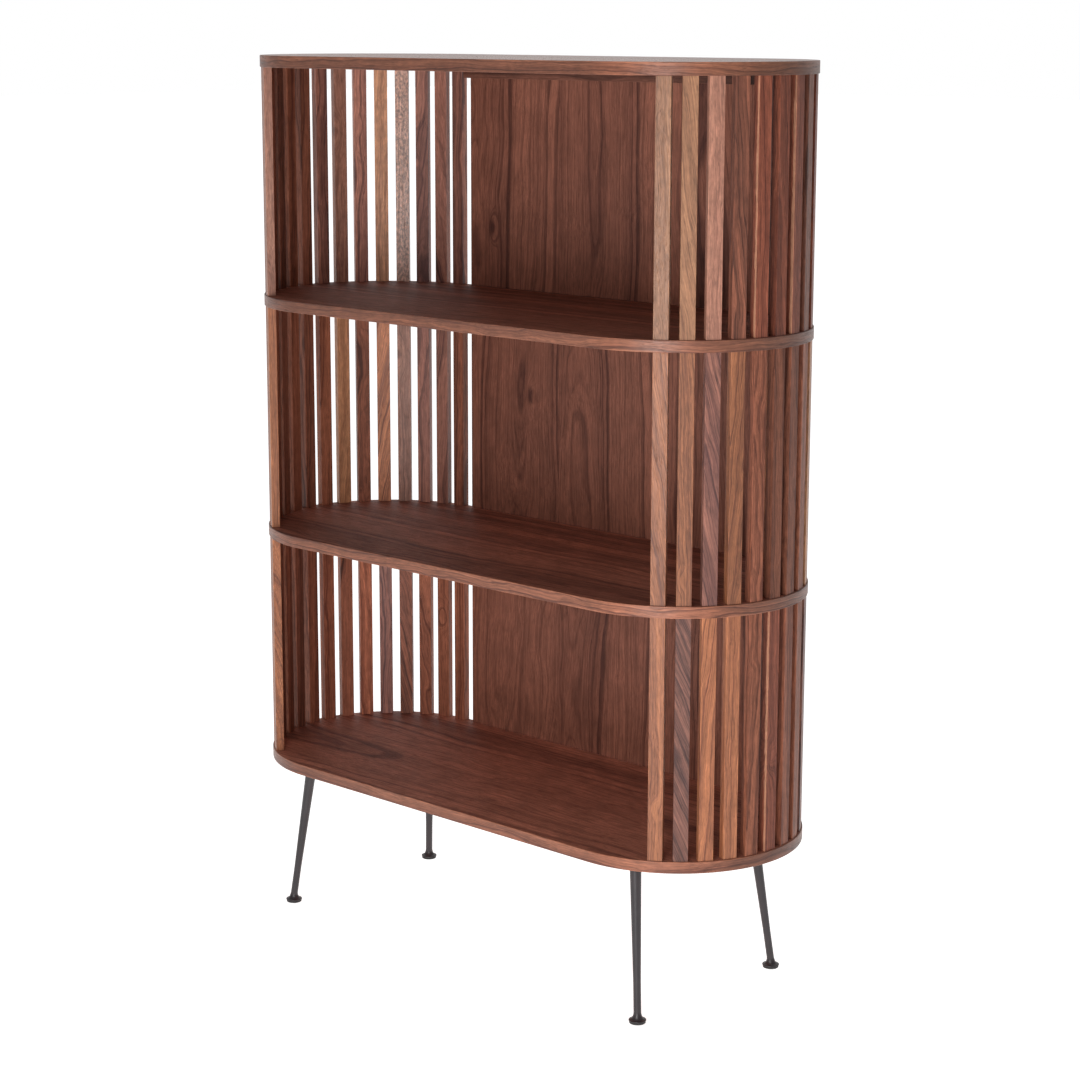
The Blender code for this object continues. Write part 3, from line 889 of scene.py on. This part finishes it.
def build_glide(label, foot, top):
    """A levelling glide: a pad with an eased rim, and a stud with a real thread."""
    bm = bmesh.new()
    rings = [ring_at(foot, radius, z, ROUND_STEPS) for radius, z in pad_profile()]
    threads = int((top - GLIDE_HEIGHT) / THREAD_PITCH * THREAD_STEPS)
    for i in range(threads + 1):
        z = GLIDE_HEIGHT + (top - GLIDE_HEIGHT) * i / threads
        ring = []
        for j in range(ROUND_STEPS):
            angle = 2 * math.pi * j / ROUND_STEPS
            phase = (z / THREAD_PITCH - j / ROUND_STEPS) % 1.0
            radius = STUD_RADIUS - THREAD_DEPTH * abs(2 * phase - 1)
            ring.append((foot.x + radius * math.cos(angle), foot.y + radius * math.sin(angle), z))
        rings.append(ring)
    loft(bm, rings)
    glide = finish_mesh(f"glide_{label}_moulded", bm)
    keep(glide, GLIDE_PLASTIC, f"glide_{label}", "glide_plastic", f"glide_{label}")


def pad_profile():
    """(radius, height) points of a glide's pad, from its sole to the root of its stud."""
    points = [(GLIDE_RADIUS - GLIDE_EASE, 0.0)]
    for turn in arris_turns():
        points.append(
            (GLIDE_RADIUS - GLIDE_EASE * (1 - math.sin(turn)), GLIDE_EASE * (1 - math.cos(turn)))
        )
    points += [(GLIDE_RADIUS, GLIDE_HEIGHT - GLIDE_RIM), (GLIDE_RADIUS - GLIDE_RIM, GLIDE_HEIGHT)]
    return points


# ---------------------------------------------------------------- stage, light and camera


BACKDROP = (-0.55, 0.80, 0.25)  # the way from the object to the bright backdrop
DIM_SIDE = 0.20
BRIGHT_SIDE = 0.75
KEY_POWER = 29.0
TOP_POWER = 13.0
FLOOR_GLOW = 0.8
FLOOR_REACH = 40.0
FLOOR_DROP = 0.0082
CAMERA_PLACE = Vector((2.8012, -2.9138, 0.7735))  # from the middle of the object
CAMERA_AIM = Vector((0.0251, 0.0106, -0.0472))
CAMERA_ROLL = 0.002
CAMERA_LENS = 85.14
CAMERA_FAR = 200.0


def build_stage():
    """The floor, low enough to clear the pads when they are screwed out."""
    bm = bmesh.new()
    corners = [(x * FLOOR_REACH, y * FLOOR_REACH, -FLOOR_DROP) for x, y in CORNERS]
    bm.faces.new([bm.verts.new(corner) for corner in corners])
    mesh = bpy.data.meshes.new("floor")
    bm.to_mesh(mesh)
    bm.free()
    floor = bpy.data.objects.new("floor", mesh)
    bpy.context.scene.collection.objects.link(floor)
    floor.data.materials.append(pale_floor("floor_pale"))


def soft_box(name, azimuth, height, distance, size, power):
    """A softbox turned to the middle of the object. Azimuth 0 is in front, and 90 at its right."""
    middle = (LOW + HIGH) / 2
    turn = math.radians(azimuth)
    place = Vector((distance * math.sin(turn), -distance * math.cos(turn), height))
    light = bpy.data.lights.new(name, "AREA")
    light.shape = "RECTANGLE"
    light.size, light.size_y = size
    light.energy = power
    box = bpy.data.objects.new(name, light)
    bpy.context.scene.collection.objects.link(box)
    box.visible_camera = False
    box.location = place
    box.rotation_euler = (middle - place).to_track_quat("-Z", "Y").to_euler()


def build_world():
    """A white studio: bright where the backdrop stands behind the object, dimmer round the camera."""
    world = bpy.data.worlds.new("white_studio")
    bpy.context.scene.world = world
    world.use_nodes = True
    nodes, links = world.node_tree.nodes, world.node_tree.links
    background = nodes["Background"]
    direction = nodes.new("ShaderNodeTexCoord").outputs["Generated"]
    facing = nodes.new("ShaderNodeVectorMath")
    facing.operation = "DOT_PRODUCT"
    facing.inputs[1].default_value = BACKDROP
    links.new(direction, facing.inputs[0])
    fade = nodes.new("ShaderNodeMapRange")
    fade.interpolation_type = "SMOOTHSTEP"
    limits = {"From Min": 0.2, "From Max": 0.9, "To Min": DIM_SIDE, "To Max": BRIGHT_SIDE}
    for key, value in limits.items():
        fade.inputs[key].default_value = value
    links.new(facing.outputs["Value"], fade.inputs["Value"])
    seen = nodes.new("ShaderNodeLightPath").outputs["Is Camera Ray"]
    strength = nodes.new("ShaderNodeMath")
    strength.operation = "MAXIMUM"
    links.new(seen, strength.inputs[0])
    links.new(fade.outputs["Result"], strength.inputs[1])
    background.inputs["Color"].default_value = (1.0, 1.0, 1.0, 1.0)
    links.new(strength.outputs[0], background.inputs["Strength"])


def build_light():
    build_world()
    soft_box("key", 30.0, 0.85, 2.3, (1.0, 1.2), KEY_POWER)
    soft_box("top", 200.0, 3.2, 0.3, (1.6, 1.0), TOP_POWER)
    bpy.context.scene.view_settings.view_transform = "Standard"


def build_camera():
    middle = (LOW + HIGH) / 2
    place = middle + CAMERA_PLACE
    facing = (middle + CAMERA_AIM - place).to_track_quat("-Z", "Y").to_matrix().to_4x4()
    camera = bpy.data.objects.new("camera", bpy.data.cameras.new("camera"))
    bpy.context.scene.collection.objects.link(camera)
    camera.data.sensor_width = 36.0
    camera.data.lens = CAMERA_LENS
    camera.data.clip_end = CAMERA_FAR
    camera.location = place
    camera.rotation_euler = (facing @ Matrix.Rotation(CAMERA_ROLL, 4, "Z")).to_euler()
    bpy.context.scene.camera = camera


build_slats()
build_boards()
build_back()
build_legs()
build_stage()
build_light()
build_camera()
